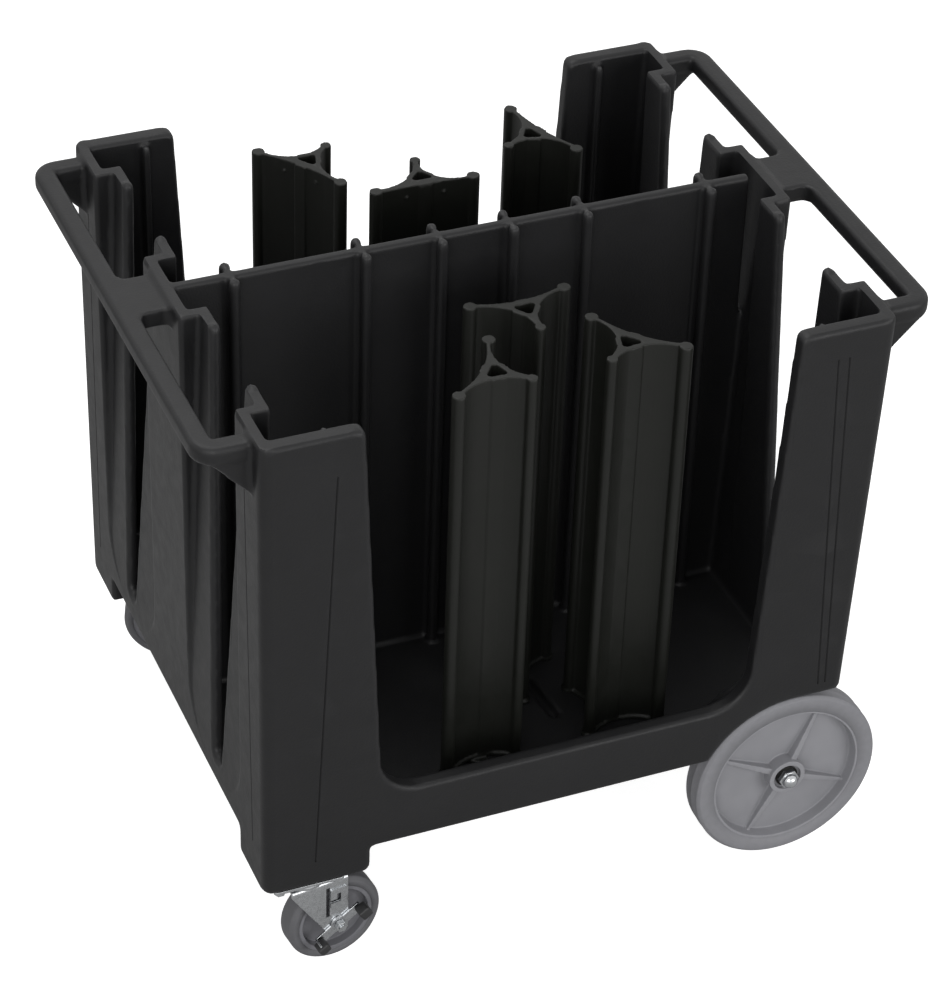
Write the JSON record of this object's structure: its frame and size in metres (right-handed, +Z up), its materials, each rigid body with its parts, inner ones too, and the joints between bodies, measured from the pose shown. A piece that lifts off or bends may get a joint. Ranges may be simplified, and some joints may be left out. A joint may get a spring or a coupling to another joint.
{
  "type": "plate dispenser cart",
  "caption": "Open moulded cart for stacked plates: a ribbed tub with a centre wall, lift-out divider towers, push rails at both ends, fixed large wheels and swivel casters.",
  "frame": {"origin": "on the floor under the middle of the cart", "axes": "+X towards the large-wheel end, +Y across the cart to its far side, +Z up"},
  "size_m": [0.926, 0.7446, 0.8192],
  "materials": {
    "moulded_body": "satin, fine pebble",
    "tower": "satin",
    "wheel_disc": "satin",
    "wheel_tyre": "matt",
    "bush": "satin",
    "axle_steel": "bright zinc",
    "zinc_steel": "bright zinc",
    "chrome_nut": "polished",
    "brake_rubber": "matt"
  },
  "bodies": {
    "cart": {"cart_body": "moulded_body", "rear_axle": "axle_steel", "axle_bush_near": "bush", "axle_bush_far": "bush", "axle_spacer_near": "axle_steel", "axle_spacer_far": "axle_steel", "axle_washer_near": "axle_steel", "axle_washer_far": "axle_steel", "acorn_nut_near": "chrome_nut", "acorn_nut_far": "chrome_nut", "caster_plate_near": "zinc_steel", "caster_plate_far": "zinc_steel", "caster_bolts_near": "zinc_steel", "caster_bolts_far": "zinc_steel", "caster_kingpin_near": "zinc_steel", "caster_kingpin_far": "zinc_steel"},
    "tower_1": {"divider_tower_1": "tower"},
    "tower_2": {"divider_tower_2": "tower"},
    "tower_3": {"divider_tower_3": "tower"},
    "tower_4": {"divider_tower_4": "tower"},
    "tower_5": {"divider_tower_5": "tower"},
    "tower_6": {"divider_tower_6": "tower"},
    "large_wheel_near": {"rear_tyre_near": "wheel_tyre", "rear_wheel_near": "wheel_disc", "wheel_bush_near": "bush"},
    "caster_swivel_near": {"caster_fork_near": "zinc_steel", "caster_race_near": "zinc_steel", "caster_sleeve_near": "zinc_steel", "caster_axle_near": "zinc_steel", "caster_nut_near": "zinc_steel", "brake_bracket": "zinc_steel"},
    "caster_wheel_near": {"caster_core_near": "wheel_disc", "caster_tread_near": "wheel_tyre"},
    "large_wheel_far": {"rear_tyre_far": "wheel_tyre", "rear_wheel_far": "wheel_disc", "wheel_bush_far": "bush"},
    "caster_swivel_far": {"caster_fork_far": "zinc_steel", "caster_race_far": "zinc_steel", "caster_sleeve_far": "zinc_steel", "caster_axle_far": "zinc_steel", "caster_nut_far": "zinc_steel"},
    "caster_wheel_far": {"caster_core_far": "wheel_disc", "caster_tread_far": "wheel_tyre"},
    "wheel_brake": {"brake_lever": "zinc_steel", "brake_pads": "brake_rubber"}
  },
  "joints": [
    {"name": "tower_1_lift", "type": "slide", "parent": "cart", "child": "tower_1", "axis": [0, 0, 1], "range_m": [0, 0.64]},
    {"name": "tower_2_lift", "type": "slide", "parent": "cart", "child": "tower_2", "axis": [0, 0, 1], "range_m": [0, 0.64]},
    {"name": "tower_3_lift", "type": "slide", "parent": "cart", "child": "tower_3", "axis": [0, 0, 1], "range_m": [0, 0.64]},
    {"name": "tower_4_lift", "type": "slide", "parent": "cart", "child": "tower_4", "axis": [0, 0, 1], "range_m": [0, 0.64]},
    {"name": "tower_5_lift", "type": "slide", "parent": "cart", "child": "tower_5", "axis": [0, 0, 1], "range_m": [0, 0.64]},
    {"name": "tower_6_lift", "type": "slide", "parent": "cart", "child": "tower_6", "axis": [0, 0, 1], "range_m": [0, 0.64]},
    {"name": "large_wheel_near_spin", "type": "hinge", "parent": "cart", "child": "large_wheel_near", "pos_m": [0.314, -0.334, 0.127], "axis": [0, 1, 0], "continuous": true},
    {"name": "large_wheel_far_spin", "type": "hinge", "parent": "cart", "child": "large_wheel_far", "pos_m": [0.314, 0.334, 0.127], "axis": [0, 1, 0], "continuous": true},
    {"name": "caster_near_swivel", "type": "hinge", "parent": "cart", "child": "caster_swivel_near", "pos_m": [-0.338, -0.326, 0.14], "axis": [0, 0, 1], "continuous": true},
    {"name": "caster_near_spin", "type": "hinge", "parent": "caster_swivel_near", "child": "caster_wheel_near", "pos_m": [-0.30028, -0.32137, 0.0635], "axis": [-0.1219, 0.9925, 0], "continuous": true},
    {"name": "brake_rock", "type": "hinge", "parent": "caster_swivel_near", "child": "wheel_brake", "pos_m": [-0.30028, -0.32137, 0.0635], "axis": [-0.1219, 0.9925, 0], "range_deg": [-12, 12]},
    {"name": "caster_far_swivel", "type": "hinge", "parent": "cart", "child": "caster_swivel_far", "pos_m": [-0.338, 0.326, 0.14], "axis": [0, 0, 1], "continuous": true},
    {"name": "caster_far_spin", "type": "hinge", "parent": "caster_swivel_far", "child": "caster_wheel_far", "pos_m": [-0.30229, 0.313, 0.0635], "axis": [0.342, 0.9397, 0], "continuous": true}
  ]
}
